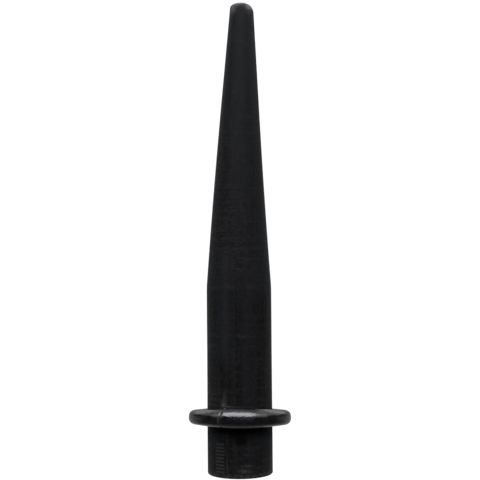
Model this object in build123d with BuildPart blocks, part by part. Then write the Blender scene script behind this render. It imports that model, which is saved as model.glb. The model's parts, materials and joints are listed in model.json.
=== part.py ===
"""An ear-stretching taper: one moulded plastic shaft with a rubber O-ring pushed onto its shank.

Millimetres. The origin is the centre of the flat butt face, and +Z runs up the axis to the tip.
"""

import os

from build123d import *

# Shaft: butt, parallel shank, shoulder, cone and rounded tip
overall_length = 72.2
butt_diameter = 10.0  # 00 gauge
butt_height = 6.0
land_diameter = 9.92
land_start = 18.5
shoulder_height = 28.6
tip_diameter = 3.47  # where the cone would meet the end plane if the tip were sharp
tip_rounding = 1.45
butt_rounding = 0.3

# Ring: a round cord that hugs the shank, sitting slightly askew
ring_outer_diameter = 15.7
cord_diameter = 2.84
ring_clearance = 0.03
ring_height = 8.6
ring_tilt = 6.5  # degrees, the -Y side raised

butt_radius = butt_diameter / 2
land_radius = land_diameter / 2
tip_radius = tip_diameter / 2
cord_radius = cord_diameter / 2
ring_mid_radius = ring_outer_diameter / 2 - cord_radius
ring_bore_radius = butt_radius + ring_clearance

os.makedirs("parts", exist_ok=True)

# The shaft is one turned profile. Its shank swells very slightly from the land down to the butt,
# as draft in the mould leaves it.
with BuildPart() as taper_shaft:
    with BuildSketch(Plane.XZ) as shaft_section:
        with BuildLine():
            Polyline(
                (0, 0),
                (butt_radius, 0),
                (butt_radius, butt_height),
                (land_radius, land_start),
                (land_radius, shoulder_height),
                (tip_radius, overall_length),
                (0, overall_length),
                close=True,
            )
        make_face()
        butt_corner = shaft_section.vertices().sort_by_distance((butt_radius, 0))[0]
        fillet(butt_corner, radius=butt_rounding)
        tip_corner = shaft_section.vertices().sort_by_distance((tip_radius, overall_length))[0]
        fillet(tip_corner, radius=tip_rounding)
    revolve(axis=Axis.Z)

taper_shaft.part.label = "taper_shaft"
export_step(taper_shaft.part, "parts/taper_shaft.step")

# The ring is a round cord turned about its own tilted axis. The stretched rubber lies flat against
# the shank, so its inner side is cut to a bore along the shank.
ring_plane = Plane.XY.offset(ring_height).rotated((-ring_tilt, 0, 0))
ring_axis = Axis(ring_plane.origin, ring_plane.z_dir)
cord_plane = Plane(origin=ring_plane.origin, x_dir=ring_plane.x_dir, z_dir=-ring_plane.y_dir)

with BuildPart() as o_ring:
    with BuildSketch(cord_plane):
        with Locations((ring_mid_radius, 0)):
            Circle(cord_radius)
    revolve(axis=ring_axis)
    with BuildSketch(Plane.XY):
        Circle(ring_bore_radius)
    extrude(amount=ring_height * 2, mode=Mode.SUBTRACT)

o_ring.part.label = "o_ring"
export_step(o_ring.part, "parts/o_ring.step")
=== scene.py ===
"""An ear-stretching taper in satin black plastic, with a glossy black rubber ring on its shank.

Metres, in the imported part's frame: the origin is the centre of the butt face, +Z runs up the axis
to the tip, and the camera looks along +Y. Angles round the axis are counted from the front (-Y),
positive towards +X.
"""

import json
import math

import bpy
import numpy as np
from mathutils import Matrix, Vector, noise


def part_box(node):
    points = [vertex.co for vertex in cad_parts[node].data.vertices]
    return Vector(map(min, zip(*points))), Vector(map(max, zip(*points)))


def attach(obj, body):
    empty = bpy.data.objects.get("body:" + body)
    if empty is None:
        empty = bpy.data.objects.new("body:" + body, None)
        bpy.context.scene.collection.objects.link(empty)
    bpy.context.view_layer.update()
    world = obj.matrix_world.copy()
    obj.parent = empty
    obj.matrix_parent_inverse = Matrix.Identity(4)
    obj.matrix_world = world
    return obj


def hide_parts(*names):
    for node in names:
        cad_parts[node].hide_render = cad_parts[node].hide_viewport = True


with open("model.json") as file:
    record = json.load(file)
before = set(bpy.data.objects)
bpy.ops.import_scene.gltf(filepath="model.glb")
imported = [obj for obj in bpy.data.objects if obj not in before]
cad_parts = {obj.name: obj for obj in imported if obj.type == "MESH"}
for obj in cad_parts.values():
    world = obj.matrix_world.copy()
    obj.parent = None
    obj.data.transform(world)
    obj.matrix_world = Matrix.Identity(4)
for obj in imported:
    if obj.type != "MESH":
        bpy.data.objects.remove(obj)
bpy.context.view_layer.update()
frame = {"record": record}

MM = 0.001

# ---------------------------------------------------------------- sizes taken from the frame
mounts = {mount["name"]: mount for mount in frame["record"]["mounts"]}
shaft_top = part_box("taper_shaft")[1].z
ring_low, ring_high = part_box("o_ring")


def pin_span(name):
    """Lowest and highest height of a pin mount's wall, and its radius."""
    middle = mounts[name]["pos_m"][2]
    half = mounts[name]["dims"]["length_mm"] * MM / 2
    return middle - half, middle + half, mounts[name]["dims"]["r_mm"] * MM


butt_rounding, butt_top, butt_radius = pin_span("butt_end")
land_low, land_high, land_radius = pin_span("shank")

# ---------------------------------------------------------------- the shaft's own details
TIP_RADIUS = 1.735 * MM  # where the cone would meet the end plane if the tip were sharp
TIP_DOME = 1.33 * MM  # depth of the rounded end
TIP_LOPSIDED = 0.38 * MM  # how much deeper the rounding is on the right, and shallower on the left
TIP_BLUNTNESS = 2.2  # 2 would be an ellipse, and more is squarer
TIP_BLUNTNESS_LOPSIDED = 0.2  # the left side is squarer than the right
TIP_UNEVENNESS = 0.035 * MM
TIP_STEPS = 24
SHOULDER_SOFTNESS = 0.3 * MM
BEND_START = 26.0 * MM  # the cone leans slightly to the right of the shank above this
BEND_LENGTH = 30.0 * MM
BEND_SLOPE = 0.0248
SURFACE_WAVE = 0.006 * MM
SEAM_ANGLES = [math.radians(-22.2), math.radians(157.8)]  # the mould's parting line, on both sides
SEAM_WIDTH = 0.10 * MM
SEAM_HEIGHT = 0.018 * MM
SEAM_STEP = 0.014 * MM

# Spacing of the shaft's rows of points, and how many columns stand round it
TICK_ROWS = 0.04 * MM
SHANK_ROWS = 0.45 * MM
SHOULDER_ROWS = 0.12 * MM
SHOULDER_ZONE = 1.2 * MM  # its closer rows reach this far below and above the shoulder
CONE_ROWS = 0.6 * MM
PLAIN_COLUMNS = 200
TICK_COLUMNS = 64
BACK_SEAM_COLUMNS = 13

# A short column of plain raised ticks beside the parting line, all alike
TICK_COUNT = 9
TICK_PITCH = 0.52 * MM
TICK_FIRST = 0.95 * MM
TICK_HALF_WIDTH = 0.08 * MM
TICK_FLANK = 0.07 * MM
TICK_HEIGHT = 0.022 * MM
TICK_END = math.radians(1.2)  # over which a tick's end slopes down
TICK_LEFT = math.radians(-47)
TICK_RIGHT = math.radians(-28)

# ---------------------------------------------------------------- the ring's own details
CORD_RADIUS = 1.42 * MM
CORD_HALF_HEIGHT_SIDES = 1.14 * MM  # the stretched cord is a little flatter at the sides
CORD_HALF_HEIGHT_FRONT = 1.58 * MM
CORD_TOP_SHARE = 0.98  # height of the cord's top in front, as a share of its underside's
CORD_BLUNTNESS_SIDES = 2.6  # 2 would be an ellipse, and more is squarer
CORD_BLUNTNESS_FRONT = 2.05
CORD_WAVE = 0.010  # unevenness, as a share of the cord
CORD_POINTS = 72  # round one section
RING_BORE = 5.03 * MM
RING_ROLL = math.radians(0.7)  # the right side is slightly lower
SPLICE_ANGLE = math.radians(-22.7)
SPLICE_SLANT = math.radians(3.2)  # how much further round the cut is at the top than in front
SPLICE_SLANT_REACH = math.radians(30)
SPLICE_PINCH_TOP = 0.22
SPLICE_PINCH_BELOW = 0.06
SPLICE_HALF_WIDTH = math.radians(0.9)
SPLICE_LIP = 0.022  # the left end's edge stands this share of the cord proud
SPLICE_LIP_PLACE = math.radians(-1.9)
RIGHT_END_RISE = 0.24 * MM  # how far the right end's top stands above the left end's
RIGHT_END_REACH = math.radians(60)
CORNER_RISE = 0.16 * MM  # the right end's inner corner, peeled up along the shank
CORNER_REACH = math.radians(5.5)
CORNER_TURN = math.radians(102)
CORNER_HALF_WIDTH = math.radians(55)
JOINT_HIGHLIGHT = 0.12  # how pale the painted highlight is along the splice, and on the edge beside it
EDGE_HIGHLIGHT = 0.55
EDGE_HIGHLIGHT_REACH = math.radians(33)
EDGE_HIGHLIGHT_HALF_WIDTH = math.radians(34)

ring_middle_radius = ring_high.x - CORD_RADIUS
ring_centre = (ring_low.z + ring_high.z) / 2
ring_tilt = math.asin(((ring_high.z - ring_low.z) / 2 - CORD_RADIUS) / ring_middle_radius)


def round_the_axis(angle, radius, height):
    return (radius * math.sin(angle), -radius * math.cos(angle), height)


def smooth_step(t):
    t = np.clip(t, 0, 1)
    return t * t * (3 - 2 * t)


def bump_shape(distance, width):
    """1 in the middle, falling smoothly to 0 at the given half width."""
    return smooth_step(1 - np.abs(distance) / width)


def bell(distance, width):
    """1 in the middle, falling to about a third at the given width and then away to nothing."""
    return math.exp(-((distance / width) ** 2))


def turn_between(angle, other):
    """The signed turn from one angle to another, the short way round."""
    return math.remainder(angle - other, 2 * math.pi)


def make_piece(name, points, faces):
    mesh = bpy.data.meshes.new(name)
    mesh.from_pydata(points, [], faces)
    mesh.validate()
    mesh.polygons.foreach_set("use_smooth", [True] * len(mesh.polygons))
    mesh.update()
    piece = bpy.data.objects.new(name, mesh)
    bpy.context.scene.collection.objects.link(piece)
    return piece


# ---------------------------------------------------------------- the shaft
cone_slope = (land_radius - TIP_RADIUS) / (shaft_top - land_high)


def side_radius(height):
    """Radius of the shaft's side: butt, slight swell, land, soft shoulder and cone."""
    shank = np.interp(height, [butt_top, land_low], [butt_radius, land_radius])
    above = np.logaddexp(0, (height - land_high) / SHOULDER_SOFTNESS) * SHOULDER_SOFTNESS
    return shank - cone_slope * above


def low_profile():
    """(radius, height) pairs from the middle of the butt face to the top of the cone."""
    face_edge = butt_radius - butt_rounding
    face = [(face_edge * share, 0) for share in (0.25, 0.5, 0.75, 0.9)]
    turns = np.radians(np.linspace(-90, 0, 9))
    edge = [(face_edge + butt_rounding * math.cos(a), butt_rounding * (1 + math.sin(a))) for a in turns]
    tick_zone = TICK_FIRST + TICK_COUNT * TICK_PITCH
    cone_end = shaft_top - TIP_DOME - TIP_LOPSIDED
    heights = np.concatenate(
        [
            np.arange(butt_rounding + TICK_ROWS, tick_zone, TICK_ROWS),
            np.arange(tick_zone, land_high - SHOULDER_ZONE, SHANK_ROWS),
            np.arange(land_high - SHOULDER_ZONE, land_high + SHOULDER_ZONE, SHOULDER_ROWS),
            np.arange(land_high + SHOULDER_ZONE, cone_end, CONE_ROWS),
        ]
    )
    return face + edge + list(zip(side_radius(heights), heights))


def tip_point(angle, share):
    """(radius, height) on the rounded tip, from the end of the cone (0) to the very top (1)."""
    depth = TIP_DOME + TIP_LOPSIDED * math.sin(angle)
    # The dome's half width, with which it starts about where the cone ends
    reach = math.sqrt(TIP_RADIUS**2 + 2 * TIP_RADIUS * cone_slope * depth)
    start = math.atan(depth * cone_slope / reach)
    turn = start + (math.pi / 2 - start) * share
    place = Vector((math.sin(angle), math.cos(angle), turn * 1.6)) * 1.7
    dent = TIP_UNEVENNESS * noise.noise(place) * math.sin(math.pi * share)
    power = 2 / (TIP_BLUNTNESS - TIP_BLUNTNESS_LOPSIDED * math.sin(angle))
    radius = (reach + dent) * math.cos(turn) ** power
    height = shaft_top - (depth - dent) * (1 - math.sin(turn) ** power)
    return radius, height


def shaft_angles():
    """Angles of the columns round the shaft, closer together at the parting line and the ticks."""
    plain = np.linspace(-math.pi, math.pi, PLAIN_COLUMNS, endpoint=False)
    ticks = np.linspace(TICK_LEFT - math.radians(2), SEAM_ANGLES[0] + math.radians(2.5), TICK_COLUMNS)
    back_seam = SEAM_ANGLES[1] + np.radians(np.linspace(-2.5, 2.5, BACK_SEAM_COLUMNS))
    kept = [a for a in plain if not ticks[0] - 0.01 < a < ticks[-1] + 0.01]
    kept = [a for a in kept if not back_seam[0] - 0.01 < a < back_seam[-1] + 0.01]
    return np.array(sorted([*kept, *ticks, *back_seam]))


def seam_strength(height):
    """The parting line is plain on the butt and faint above the ring."""
    return 1 - 0.8 * smooth_step((height - butt_top) / (land_low - butt_top))


def on_ticks(angle, height):
    """1 on the flat top of a tick, 0 away from it."""
    nearest = round((height - TICK_FIRST) / TICK_PITCH)
    if not 0 <= nearest < TICK_COUNT:
        return 0.0
    off = abs(height - TICK_FIRST - nearest * TICK_PITCH)
    along = smooth_step((TICK_HALF_WIDTH + TICK_FLANK - off) / TICK_FLANK)
    across = smooth_step((angle - TICK_LEFT) / TICK_END) * smooth_step((TICK_RIGHT - angle) / TICK_END)
    return float(along * across)


def shaft_relief(angle, height, radius):
    """How far the side stands proud of the plain turned shape."""
    off_front = turn_between(angle, SEAM_ANGLES[0]) * radius
    off_back = turn_between(angle, SEAM_ANGLES[1]) * radius
    ridge = bump_shape(off_front, SEAM_WIDTH) + bump_shape(off_back, SEAM_WIDTH)
    lower_half = smooth_step(off_front / SEAM_WIDTH + 0.5) * smooth_step(0.5 - off_back / SEAM_WIDTH)
    relief = seam_strength(height) * (SEAM_HEIGHT * ridge - SEAM_STEP * lower_half)
    wave = noise.noise(Vector((math.sin(angle) * 2.2, math.cos(angle) * 2.2, height / (9 * MM))))
    return float(relief + SURFACE_WAVE * wave + TICK_HEIGHT * on_ticks(angle, height))


def lean_of(height):
    """How far the cone's axis stands to the right of the shank's at a height."""
    past = max(height - BEND_START, 0)
    bent = min(past, BEND_LENGTH)
    return BEND_SLOPE * (bent * bent / (2 * BEND_LENGTH) + (past - bent))


# Rubbed places, and painted highlights on the front of the tip's dome: angle in degrees, height, half width
# and half height in mm, strength
SCUFFS_AND_TIP_HIGHLIGHTS = [
    (-29, 11.15, 0.42, 0.42, 0.45),
    (-28, 12.3, 0.26, 0.60, 0.12),
    # Painted highlights: these three pale patches on the tip's dome stand in for glints of light.
    (-45, 71.35, 0.55, 0.40, 0.80),
    (40, 71.25, 0.60, 0.42, 1.00),
    (-10, 72.00, 1.30, 0.34, 1.00),
    (160, 71.40, 0.60, 0.35, 0.60),
    (7, 1.20, 0.75, 0.26, 0.24),
    (12, 2.0, 0.80, 0.16, 0.12),
    (-110, 14.0, 0.50, 1.60, 0.30),
    (95, 3.2, 0.90, 0.40, 0.30),
    (170, 20.0, 0.60, 1.20, 0.22),
    (205, 2.4, 0.80, 0.50, 0.30),
]


def scuff_and_highlight_at(angle, radius, height):
    total = 0.0
    for degrees, middle, half_width, half_height, strength in SCUFFS_AND_TIP_HIGHLIGHTS:
        across = turn_between(angle, math.radians(degrees)) * radius / (half_width * MM)
        along = (height - middle * MM) / (half_height * MM)
        total += strength * math.exp(-(across**2) - along**2)
    return min(total, 1.0)


# Painted light: paler streaks up the shaft, standing in for light that falls there: angle and half width in
# degrees, lowest and highest height in mm, strength
PAINTED_LIGHT_STREAKS = [
    (-28, 16, 16.0, 36, 1.10),
    (46, 20, 26, 76, 0.60),
    (-58, 16, 26, 76, 0.35),
    (27, 6, 8.5, 34, 0.5),
    (-48, 6, 9, 24, 0.25),
    (-47, 15, 3.0, 8.6, 1.0),
    (37, 20, 3.0, 8.6, 1.0),
    (74, 9, 14, 52, 0.5),
    (118, 14, 9, 40, 0.7),
    (178, 10, 12, 60, 0.8),
    (-142, 12, 10, 46, 0.6),
    (-92, 8, 20, 66, 0.5),
]
PAINTED_LIGHT_FADE = 3.0 * MM  # over which a streak's ends fade
SHANK_PAINTED_LIGHT = 0.12  # even painted light below the shoulder
TIP_PAINTED_LIGHT = 1.12  # painted light at the tip, growing evenly from none at the shoulder
BACK_PAINTED_LIGHT = 1.3  # painted light round the back, on both sides
BACK_PAINTED_LIGHT_FROM = math.radians(80)
BACK_PAINTED_LIGHT_FADE = math.radians(20)


# Painted light: how much paler the film is painted at a place on the shaft.
def painted_light_at(angle, height):
    total = SHANK_PAINTED_LIGHT * float(smooth_step((land_high - height + PAINTED_LIGHT_FADE) / (2 * PAINTED_LIGHT_FADE)))
    total += TIP_PAINTED_LIGHT * max((height - land_high) / (shaft_top - land_high), 0)
    total += BACK_PAINTED_LIGHT * float(smooth_step((abs(angle) - BACK_PAINTED_LIGHT_FROM) / BACK_PAINTED_LIGHT_FADE))
    for degrees, half_width, low, high, strength in PAINTED_LIGHT_STREAKS:
        across = bell(turn_between(angle, math.radians(degrees)), math.radians(half_width))
        ends = smooth_step((height - low * MM) / PAINTED_LIGHT_FADE) * smooth_step((high * MM - height) / PAINTED_LIGHT_FADE)
        total += strength * across * float(ends)
    return total


# Painted shade: a dark patch on the shank below the ring, where the ring shadows it, narrower further down
PAINTED_SHADE_ANGLE = math.radians(-4)
PAINTED_SHADE_TOP = 7.9 * MM
PAINTED_SHADE_BOTTOM = 4.7 * MM
PAINTED_SHADE_HALF_WIDTH = 1.9 * MM
PAINTED_SHADE_FOOT_SHARE = 0.25  # its width at the bottom, as a share
PAINTED_SHADE_DRIFT = math.radians(8)  # how much further round its foot is
PAINTED_SHADE_TOP_FADE = 1.2 * MM


# How strongly the painted shade below the ring covers a place.
def painted_shade_at(angle, radius, height):
    share = (height - PAINTED_SHADE_BOTTOM) / (PAINTED_SHADE_TOP - PAINTED_SHADE_BOTTOM)
    if share <= 0:
        return 0.0
    half_width = PAINTED_SHADE_HALF_WIDTH * (PAINTED_SHADE_FOOT_SHARE + (1 - PAINTED_SHADE_FOOT_SHARE) * min(share, 1.0))
    middle = PAINTED_SHADE_ANGLE + PAINTED_SHADE_DRIFT * (1 - min(share, 1.0))
    across = turn_between(angle, middle) * radius / half_width
    above = float(smooth_step((PAINTED_SHADE_TOP + PAINTED_SHADE_TOP_FADE - height) / PAINTED_SHADE_TOP_FADE))
    return float(smooth_step(4 * share)) * above * math.exp(-(across**8))


# How much handling has rubbed the plastic at each place, and how pale the painted highlight round the tip
# is
RIM_WEAR = 0.7
SEAM_WEAR = 0.5
TIP_PAINTED_HIGHLIGHT = 0.8
SHOULDER_WEAR = 0.06


def wear_and_highlight_at(angle, radius, height):
    """Rubbed plastic on the butt's rim, the parting line and the shoulder, and a painted highlight round
    the tip.
    """
    rim = RIM_WEAR * bell(height - butt_rounding, 0.35 * MM)
    ridge = bump_shape(turn_between(angle, SEAM_ANGLES[0]) * radius + 0.1 * MM, 0.16 * MM)
    ridge += bump_shape(turn_between(angle, SEAM_ANGLES[1]) * radius, 0.12 * MM)
    seam = SEAM_WEAR * seam_strength(height) * ridge
    # Painted highlight: the tip's dome is painted pale where light catches it.
    tip = TIP_PAINTED_HIGHLIGHT * smooth_step((height - shaft_top + 1.1 * MM) / (1.0 * MM))
    shoulder = SHOULDER_WEAR * bell(height - land_high, 0.5 * MM)
    return float(min(max(rim, seam, tip, shoulder), 1.0))


def make_shaft():
    angles = shaft_angles()
    count = len(angles)
    points, wear, ticks, scuffs_and_highlights, haze, oily = [], [], [], [], [], []

    def add(angle, radius, height, proud=0.0):
        x, y, z = round_the_axis(angle, radius + proud, height)
        points.append((x + lean_of(height), y, z))
        wear.append(wear_and_highlight_at(angle, radius, height))
        ticks.append(on_ticks(angle, height))
        scuffs_and_highlights.append(scuff_and_highlight_at(angle, radius, height))
        haze.append(painted_light_at(angle, height))
        oily.append(painted_shade_at(angle, radius, height))

    profile = low_profile()
    for radius, height in profile:
        on_side = float(smooth_step((height - 0.2 * MM) / (0.3 * MM)))
        for angle in angles:
            add(angle, radius, height, shaft_relief(angle, height, radius) * on_side if on_side else 0.0)
    for step in range(TIP_STEPS):
        for angle in angles:
            add(angle, *tip_point(angle, step / TIP_STEPS))
    rows = len(profile) + TIP_STEPS

    faces = []
    for i in range(rows - 1):
        for j in range(count):
            k = (j + 1) % count
            low, high = i * count, (i + 1) * count
            faces.append((low + j, low + k, high + k, high + j))
    add(0, 0, 0)
    add(0, 0, shaft_top)
    bottom, top, last = len(points) - 2, len(points) - 1, (rows - 1) * count
    for j in range(count):
        k = (j + 1) % count
        faces.append((k, j, bottom))
        faces.append((last + j, last + k, top))
    piece = make_piece("shaft_moulding", points, faces)
    marks = {"wear": wear, "ticks": ticks, "scuff": scuffs_and_highlights, "haze": haze, "oily": oily}
    for name, values in marks.items():
        piece.data.attributes.new(name, "FLOAT", "POINT").data.foreach_set("value", values)
    return piece


# ---------------------------------------------------------------- the ring
def cord_section(angle, turn):
    """A point of the cord's section, outwards and upwards from its middle, at an angle round the ring."""
    front = math.cos(angle) ** 4
    half_height = CORD_HALF_HEIGHT_SIDES + (CORD_HALF_HEIGHT_FRONT - CORD_HALF_HEIGHT_SIDES) * front
    if turn < math.pi:
        half_height *= 1 - (1 - CORD_TOP_SHARE) * front
    power = 2 / (CORD_BLUNTNESS_SIDES + (CORD_BLUNTNESS_FRONT - CORD_BLUNTNESS_SIDES) * front)
    outward, upward = math.cos(turn), math.sin(turn)
    return (
        CORD_RADIUS * math.copysign(abs(outward) ** power, outward),
        half_height * math.copysign(abs(upward) ** power, upward),
    )


def end_rise(off, turn):
    """How far the cord's right end is raised, at a turn past the splice and a turn of the section."""
    if off < 0:
        return 0.0
    whole = RIGHT_END_RISE * math.exp(-off / RIGHT_END_REACH) * max(math.sin(turn), 0)
    corner = CORNER_RISE * math.exp(-off / CORNER_REACH)
    return whole + corner * bump_shape(turn - CORNER_TURN, CORNER_HALF_WIDTH)


def painted_highlight_at(off, turn):
    """Painted highlight, as paler rubber: along the splice, at its peeled corner and on the top inner edge.
    """
    joint = JOINT_HIGHLIGHT * bell(off - SPLICE_LIP_PLACE, SPLICE_HALF_WIDTH)
    corner = bell(off, CORNER_REACH) if off > 0 else 0.0
    edge = float(bump_shape(turn - CORNER_TURN, EDGE_HIGHLIGHT_HALF_WIDTH))
    edge_highlight = EDGE_HIGHLIGHT * bell(off, EDGE_HIGHLIGHT_REACH)
    return max(joint, edge * max(corner, edge_highlight))


def ring_steps():
    """Turns from the splice round the ring and back, closer together beside the splice."""
    near = np.radians([0.15, 0.35, 0.6, 0.85, 1.15, 1.5, 2.0, 2.6, 3.4, 4.4])
    even = np.linspace(np.radians(5.5), 2 * math.pi - np.radians(5.5), 280)
    return np.concatenate([near, even, 2 * math.pi - near[::-1]])


def make_ring():
    """The rubber cord as one closed ring, with a pinched splice, and flat where it grips the shank."""
    lie = Matrix.Rotation(RING_ROLL, 3, "Y") @ Matrix.Rotation(-ring_tilt, 3, "X")
    steps = ring_steps()
    points, rubbed = [], []
    for step in steps:
        angle = SPLICE_ANGLE + step
        off = turn_between(step, 0)
        notch = bell(off, SPLICE_HALF_WIDTH)
        lip = SPLICE_LIP * bell(off - SPLICE_LIP_PLACE, SPLICE_HALF_WIDTH)
        for k in range(CORD_POINTS):
            turn = 2 * math.pi * k / CORD_POINTS
            wave = noise.noise(Vector((math.cos(angle) * 3, math.sin(angle) * 3, turn * 0.7)))
            depth = SPLICE_PINCH_BELOW + (SPLICE_PINCH_TOP - SPLICE_PINCH_BELOW) * max(math.sin(turn), 0)
            size = 1 - depth * notch + lip + CORD_WAVE * wave
            outward, upward = cord_section(angle, turn)
            radius = ring_middle_radius + outward * size
            slant = SPLICE_SLANT * max(math.sin(turn), 0) * bell(off, SPLICE_SLANT_REACH)
            point = lie @ Vector(round_the_axis(angle + slant, radius, upward * size + end_rise(off, turn)))
            from_axis = math.hypot(point.x, point.y)
            if from_axis < RING_BORE:
                point.x *= RING_BORE / from_axis
                point.y *= RING_BORE / from_axis
            points.append((point.x, point.y, point.z + ring_centre))
            rubbed.append(painted_highlight_at(off, turn))
    faces, places = [], []
    count = len(steps)
    around = ring_middle_radius / MM
    over = CORD_RADIUS / MM
    for i in range(count):
        low, high = steps[i], steps[i + 1] if i + 1 < count else 2 * math.pi + steps[0]
        for j in range(CORD_POINTS):
            k = (j + 1) % CORD_POINTS
            a, b = i * CORD_POINTS, ((i + 1) % count) * CORD_POINTS
            faces.append((a + j, b + j, b + k, a + k))
            left, right = 2 * math.pi * j / CORD_POINTS, 2 * math.pi * (j + 1) / CORD_POINTS
            corners = [(low, left), (high, left), (high, right), (low, right)]
            places += [value for u, v in corners for value in (u * around, v * over)]
    piece = make_piece("rubber_ring", points, faces)
    piece.data.uv_layers.new(name="cord").data.foreach_set("uv", places)  # millimetres along and round
    piece.data.attributes.new("rubbed", "FLOAT", "POINT").data.foreach_set("value", rubbed)
    return piece


# ---------------------------------------------------------------- material nodes
class Surface:
    """One material's node tree, with short calls for the nodes that the finishes are made of."""

    def __init__(self, name):
        self.material = bpy.data.materials.new(name)
        self.material.use_nodes = True
        self.tree = self.material.node_tree
        self.shader = self.tree.nodes["Principled BSDF"]

    def node(self, kind, **settings):
        made = self.tree.nodes.new("ShaderNode" + kind)
        for name, value in settings.items():
            setattr(made, name, value)
        return made

    def put(self, socket, value):
        if isinstance(value, bpy.types.NodeSocket):
            self.tree.links.new(value, socket)
        else:
            socket.default_value = value

    def maths(self, operation, a, b=0.0, clamp=False):
        made = self.node("Math", operation=operation, use_clamp=clamp)
        self.put(made.inputs[0], a)
        self.put(made.inputs[1], b)
        return made.outputs[0]

    def vector(self, operation, a, b=(0, 0, 0)):
        made = self.node("VectorMath", operation=operation)
        self.put(made.inputs[0], a)
        self.put(made.inputs[1], b)
        return made.outputs[0]

    def place(self):
        """The point on the piece, in millimetres."""
        return self.vector("MULTIPLY", self.node("TexCoord").outputs["Object"], (1000, 1000, 1000))

    def attribute(self, name):
        return self.node("Attribute", attribute_name=name).outputs["Fac"]

    def noise(self, place, scale, detail=2.0, roughness=0.5, distortion=0.0):
        made = self.node("TexNoise")
        for name, value in (("Vector", place), ("Scale", scale), ("Detail", detail)):
            self.put(made.inputs[name], value)
        self.put(made.inputs["Roughness"], roughness)
        self.put(made.inputs["Distortion"], distortion)
        return made.outputs[0]

    def ramp(self, value, low, high, to_low=0.0, to_high=1.0):
        made = self.node("MapRange", interpolation_type="SMOOTHSTEP")
        for name, amount in (("Value", value), ("From Min", low), ("From Max", high)):
            self.put(made.inputs[name], amount)
        self.put(made.inputs["To Min"], to_low)
        self.put(made.inputs["To Max"], to_high)
        return made.outputs[0]

    def blend(self, share, low, high):
        """A colour between two, by a share of 0 to 1."""
        made = self.node("Mix", data_type="RGBA")
        self.put(made.inputs["Factor"], share)
        self.put(made.inputs[6], low)
        self.put(made.inputs[7], high)
        return made.outputs[2]

    def bumps(self, layers):
        """Stacked bumps: (height 0 to 1, its depth in metres) for each layer."""
        normal = None
        for height, depth in layers:
            made = self.node("Bump")
            made.inputs["Distance"].default_value = depth
            self.put(made.inputs["Height"], height)
            if normal is not None:
                self.put(made.inputs["Normal"], normal)
            normal = made.outputs[0]
        self.put(self.shader.inputs["Normal"], normal)


def grey(value, tint=0.0):
    """A grey, with its blue raised and its red lowered by a share."""
    return (value * (1 - tint), value, value * (1 + tint), 1)


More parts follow.
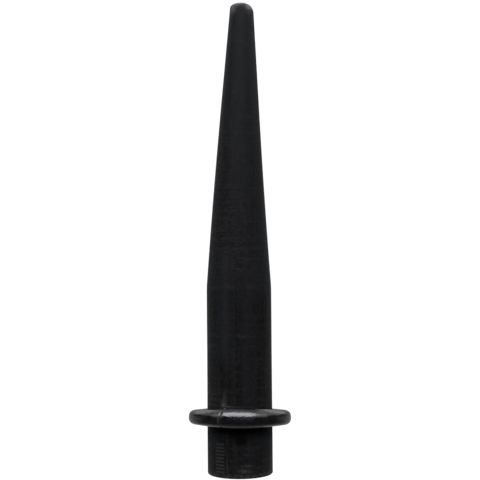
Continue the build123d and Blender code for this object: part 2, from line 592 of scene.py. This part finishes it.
def shaft_material():
    """Satin moulded plastic: drag lines up the shaft, fine cross marks, grain, rubbed edges, dust, painted
    light up the shaft, painted highlights on the tip and the ticks, and painted shade below the ring.
    """
    s = Surface("satin_black_plastic")
    place = s.place()
    flat_place = s.vector("MULTIPLY", place, (1, 1, 0))
    direction = s.vector("NORMALIZE", flat_place)
    height = s.vector("MULTIPLY", place, (0, 0, 1))

    # Drag lines: the same all the way up a stretch of the shaft, and uneven round it
    drawn = s.vector("ADD", direction, s.vector("MULTIPLY", height, (0, 0, 0.012)))
    broad_lines = s.noise(drawn, 5.5, detail=3)
    fine_lines = s.noise(s.vector("MULTIPLY", place, (1, 1, 0.006)), 4.5, detail=3, roughness=0.65)

    # Cross marks: fine level ripples, broken into short stretches and gathered in patches
    level = s.vector("MULTIPLY", height, (0, 0, 2.9))
    rippled = s.vector("ADD", s.vector("MULTIPLY", direction, (0.5, 0.5, 0)), level)
    ripples = s.ramp(s.noise(rippled, 1.15, detail=1), 0.46, 0.66)
    stretches = s.ramp(s.noise(s.vector("MULTIPLY", place, (1.1, 1.1, 2.2)), 0.8, detail=2), 0.36, 0.58)
    patches = s.ramp(s.noise(place, 0.16, detail=2), 0.40, 0.60, 0.15, 1.0)
    cross_marks = s.maths("MULTIPLY", ripples, s.maths("MULTIPLY", stretches, patches))

    grain = s.noise(place, 9, detail=4, roughness=0.6)
    mottle = s.noise(place, 0.55, detail=4, roughness=0.6)
    fine_mottle = s.noise(place, 2.4, detail=3, roughness=0.6)
    specks = s.ramp(s.noise(place, 4.2, detail=3, roughness=0.7), 0.64, 0.74)

    wear = s.maths("MULTIPLY", s.attribute("wear"), s.ramp(s.noise(place, 2.4, detail=3), 0.30, 0.62))
    smear = s.vector("MULTIPLY", place, (1.2, 1.2, 3.4))
    smeared = s.ramp(s.noise(smear, 1.3, detail=4), 0.34, 0.62, 0.5, 1.0)
    scuff = s.maths("MULTIPLY", s.attribute("scuff"), smeared)

    haze = s.maths("MULTIPLY", s.attribute("haze"), s.ramp(fine_lines, 0.25, 0.6, 0.7, 1.0))

    # The film on the plastic, made paler by the painted light, and paler still where the painted light
    # passes 1
    film = s.blend(s.ramp(mottle, 0.3, 0.7), grey(0.0004), grey(0.0015))
    film = s.blend(s.ramp(broad_lines, 0.42, 0.70), film, grey(0.0024))
    film = s.blend(haze, film, grey(0.0046, 0.16))
    film = s.blend(s.maths("SUBTRACT", haze, 1.0, clamp=True), film, grey(0.019, 0.05))
    film = s.blend(s.ramp(fine_lines, 0.46, 0.66, 0.0, 0.5), film, grey(0.0062))
    film = s.blend(s.ramp(fine_mottle, 0.44, 0.72, 0.0, 0.9), film, grey(0.0062))
    film = s.blend(s.maths("MULTIPLY", cross_marks, 0.8), film, grey(0.0075))
    # Painted shade below the ring: the film goes near black there.
    film = s.blend(s.attribute("oily"), film, grey(0.0001))
    dusty = s.blend(s.maths("MULTIPLY", specks, 0.35), film, grey(0.016))
    rubbed = s.blend(s.maths("MULTIPLY", wear, 0.8), dusty, grey(0.022, 0.02))
    # Tick tops paler: wear, and a painted highlight where the raised ticks catch the light.
    rubbed = s.blend(s.maths("MULTIPLY", s.attribute("ticks"), 0.85), rubbed, grey(0.014))
    # Scuffs are paler, and so are the painted highlights on the tip.
    s.put(s.shader.inputs["Base Color"], s.blend(s.maths("MULTIPLY", scuff, 0.85), rubbed, grey(0.10)))

    rough = s.ramp(broad_lines, 0.35, 0.65, 0.50, 0.57)
    rough = s.maths("ADD", rough, s.ramp(mottle, 0.3, 0.7, -0.03, 0.03))
    rough = s.maths("ADD", rough, s.ramp(fine_lines, 0.35, 0.65, -0.02, 0.02))
    rough = s.maths("ADD", rough, s.maths("MULTIPLY", wear, 0.14))
    s.put(s.shader.inputs["Roughness"], s.maths("ADD", rough, s.maths("MULTIPLY", scuff, 0.12), clamp=True))
    s.shader.inputs["Diffuse Roughness"].default_value = 1.0
    s.shader.inputs["Specular IOR Level"].default_value = 0.05
    s.shader.inputs["Sheen Weight"].default_value = 0.020
    s.shader.inputs["Sheen Roughness"].default_value = 0.45

    s.bumps(
        [
            (broad_lines, 0.030 * MM),
            (fine_lines, 0.016 * MM),
            (cross_marks, 0.012 * MM),
            (fine_mottle, 0.028 * MM),
            (grain, 0.008 * MM),
            (s.maths("MULTIPLY", scuff, s.noise(smear, 5, detail=3)), 0.03 * MM),
        ]
    )
    return s.material


def ring_material():
    """Glossy rubber: moulding lines along the cord, faint pebbling, smears, a little dust, and painted
    highlights at the splice and on the top inner edge.
    """
    s = Surface("glossy_black_rubber")
    place = s.place()
    uv = s.node("UVMap", uv_map="cord").outputs[0]

    along = s.noise(s.vector("MULTIPLY", uv, (0.10, 2.6, 1)), 1.0, detail=3, roughness=0.6)
    wrinkles = s.noise(s.vector("MULTIPLY", uv, (1.9, 0.35, 1)), 1.0, detail=3, roughness=0.6)
    pebble = s.noise(place, 3.2, detail=3, roughness=0.6)
    smears = s.noise(place, 0.7, detail=4, roughness=0.65, distortion=0.4)
    dust = s.ramp(s.noise(place, 5.5, detail=3, roughness=0.7), 0.66, 0.76)

    film = s.blend(s.ramp(smears, 0.35, 0.7), grey(0.0014, 0.05), grey(0.0040, 0.08))
    film = s.blend(s.maths("MULTIPLY", dust, 0.4), film, grey(0.02))
    # Painted highlights: paler rubber along the splice, at its peeled corner and on the top inner edge.
    s.put(s.shader.inputs["Base Color"], s.blend(s.attribute("rubbed"), film, grey(0.12)))

    rough = s.ramp(smears, 0.32, 0.70, 0.13, 0.22)
    rough = s.maths("ADD", rough, s.ramp(along, 0.35, 0.65, -0.015, 0.02))
    s.put(s.shader.inputs["Roughness"], s.maths("ADD", rough, s.maths("MULTIPLY", dust, 0.2), clamp=True))
    s.shader.inputs["Specular IOR Level"].default_value = 0.5

    s.bumps([(wrinkles, 0.045 * MM), (along, 0.016 * MM), (pebble, 0.026 * MM)])
    return s.material


# ---------------------------------------------------------------- studio
CAMERA_DISTANCE = 184 * MM
CAMERA_HEIGHT = 35.80 * MM
CAMERA_SIDE = 0.22 * MM
CAMERA_ROLL = math.radians(0.45)
FIELD_HEIGHT = 73.72 * MM  # what the picture spans at the object's axis
SENSOR = 36.0
WHITE = 1.05  # what the camera sees behind and below the object

# Soft lights: name, azimuth and elevation in degrees, distance, width and height in metres,
# radiance, colour
SOFTBOXES = [
    ("front_softbox", -6, 41, 0.6, 0.90, 0.40, 7.4, (0.985, 0.985, 1.06)),
    ("wide_softbox", 0, 41, 0.6, 1.90, 0.40, 2.4, (0.985, 0.985, 1.06)),
    ("overhead_softbox", 0, 84, 0.6, 0.90, 0.34, 0.9, (1, 1, 1)),
    ("rear_softbox", 180, 42, 0.6, 1.60, 0.50, 0.9, (1, 1, 1)),
    ("left_panel", -100, 40, 0.6, 0.80, 0.42, 0.90, (1, 1, 1)),
    ("right_panel", 100, 40, 0.6, 0.80, 0.42, 1.30, (1, 1, 1)),
    ("left_low_panel", -100, 4, 0.8, 0.50, 0.9, 0.10, (1, 1, 1)),
    ("right_low_panel", 100, 4, 0.8, 0.50, 0.9, 0.10, (1, 1, 1)),
    ("back_panel", 180, 14, 1.0, 2.4, 1.0, 0.22, (1, 1, 1)),
]
DARK_STUDIO = 0.05
FLOOR_HALF_SIDE = 3.0
FLOOR_GAP = 0.02 * MM  # below the butt face
# How brightly the floor glows to the object: painted light, brighter behind and close by.
FLOOR_GLOW_ALL_OVER = 0.07
FLOOR_GLOW_BEHIND = 0.30
FLOOR_GLOW_BEHIND_FADE = (-8 * MM, 12 * MM)  # along Y, from nothing to all of it
FLOOR_GLOW_CLOSE_BY = 0.5
FLOOR_GLOW_CLOSE_BY_FADE = (14 * MM, 6 * MM)  # from the axis, from nothing to all of it


def add_camera():
    camera = bpy.data.objects.new("camera", bpy.data.cameras.new("camera"))
    bpy.context.scene.collection.objects.link(camera)
    camera.data.sensor_width = SENSOR
    camera.data.lens = SENSOR * CAMERA_DISTANCE / FIELD_HEIGHT
    camera.data.clip_start = 0.01
    camera.data.clip_end = 20
    camera.location = (CAMERA_SIDE, -CAMERA_DISTANCE, CAMERA_HEIGHT)
    camera.rotation_euler = (math.pi / 2, CAMERA_ROLL, 0)
    bpy.context.scene.camera = camera


def add_softbox(name, azimuth, elevation, distance, width, height, radiance, colour):
    """A rectangular area light aimed at the middle of the object."""
    light = bpy.data.lights.new(name, "AREA")
    light.shape = "RECTANGLE"
    light.size = width
    light.size_y = height
    light.color = colour
    light.energy = radiance * math.pi * width * height
    lamp = bpy.data.objects.new(name, light)
    bpy.context.scene.collection.objects.link(lamp)
    a, e = math.radians(azimuth), math.radians(elevation)
    away = Vector((math.sin(a) * math.cos(e), -math.cos(a) * math.cos(e), math.sin(e)))
    lamp.location = Vector((0, 0, shaft_top / 2)) + away * distance
    lamp.rotation_mode = "QUATERNION"
    lamp.rotation_quaternion = away.to_track_quat("Z", "Y")
    lamp.visible_camera = False


def white_to_camera(tree, output, emitter):
    """Plain white for the camera. Returns the strength socket of what the object reflects instead."""
    bright, dim = tree.nodes.new(emitter), tree.nodes.new(emitter)
    bright.inputs["Strength"].default_value = WHITE
    for made in (bright, dim):
        made.inputs["Color"].default_value = (1, 1, 1, 1)
    mix = tree.nodes.new("ShaderNodeMixShader")
    path = tree.nodes.new("ShaderNodeLightPath")
    tree.links.new(path.outputs["Is Camera Ray"], mix.inputs["Fac"])
    tree.links.new(dim.outputs[0], mix.inputs[1])
    tree.links.new(bright.outputs[0], mix.inputs[2])
    tree.links.new(mix.outputs[0], tree.nodes.new(output).inputs["Surface"])
    return dim.inputs["Strength"]


def add_world():
    world = bpy.data.worlds.new("studio")
    bpy.context.scene.world = world
    world.use_nodes = True
    world.node_tree.nodes.clear()
    strength = white_to_camera(world.node_tree, "ShaderNodeOutputWorld", "ShaderNodeBackground")
    strength.default_value = DARK_STUDIO


def see_through_from_below(tree):
    """Puts a clear shader on the back of a surface."""
    surface = tree.nodes["Material Output"].inputs["Surface"]
    geometry = tree.nodes.new("ShaderNodeNewGeometry")
    clear = tree.nodes.new("ShaderNodeBsdfTransparent")
    mix = tree.nodes.new("ShaderNodeMixShader")
    tree.links.new(geometry.outputs["Backfacing"], mix.inputs["Fac"])
    tree.links.new(surface.links[0].from_socket, mix.inputs[1])
    tree.links.new(clear.outputs[0], mix.inputs[2])
    tree.links.new(mix.outputs[0], surface)


def add_floor():
    """A plain pale floor, white to the camera. To the object it glows, dimly all over and brighter behind
    and close by: a painted pool of light.
    """
    half = FLOOR_HALF_SIDE
    corners = [(x * half, y * half, -FLOOR_GAP) for x, y in ((-1, -1), (1, -1), (1, 1), (-1, 1))]
    floor = make_piece("floor", corners, [(0, 1, 2, 3)])
    material = bpy.data.materials.new("plain_pale_floor")
    material.use_nodes = True
    tree = material.node_tree
    tree.nodes.clear()
    strength = white_to_camera(tree, "ShaderNodeOutputMaterial", "ShaderNodeEmission")
    place = tree.nodes.new("ShaderNodeTexCoord").outputs["Object"]
    split = tree.nodes.new("ShaderNodeSeparateXYZ")
    distance = tree.nodes.new("ShaderNodeVectorMath")
    distance.operation = "LENGTH"
    tree.links.new(place, split.inputs[0])
    tree.links.new(place, distance.inputs[0])
    parts = [
        (split.outputs["Y"], FLOOR_GLOW_BEHIND_FADE, FLOOR_GLOW_BEHIND),
        (distance.outputs["Value"], FLOOR_GLOW_CLOSE_BY_FADE, FLOOR_GLOW_CLOSE_BY),
    ]
    all_over = tree.nodes.new("ShaderNodeValue")
    all_over.outputs[0].default_value = FLOOR_GLOW_ALL_OVER
    total = all_over.outputs[0]
    for value, (nothing, all_of_it), amount in parts:
        fade = tree.nodes.new("ShaderNodeMapRange")
        fade.inputs["From Min"].default_value = nothing
        fade.inputs["From Max"].default_value = all_of_it
        fade.inputs["To Max"].default_value = amount
        tree.links.new(value, fade.inputs["Value"])
        added = tree.nodes.new("ShaderNodeMath")
        tree.links.new(fade.outputs[0], added.inputs[0])
        tree.links.new(total, added.inputs[1])
        total = added.outputs[0]
    tree.links.new(total, strength)
    see_through_from_below(tree)
    floor.data.materials.append(material)


# ---------------------------------------------------------------- building
add_camera()

shaft = make_shaft()
shaft.data.materials.append(shaft_material())
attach(shaft, "taper")
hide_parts("taper_shaft")

ring = make_ring()
ring.data.materials.append(ring_material())
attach(ring, "ring")
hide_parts("o_ring")

add_world()
add_floor()
for settings in SOFTBOXES:
    add_softbox(*settings)
bpy.context.scene.view_settings.view_transform = "Standard"
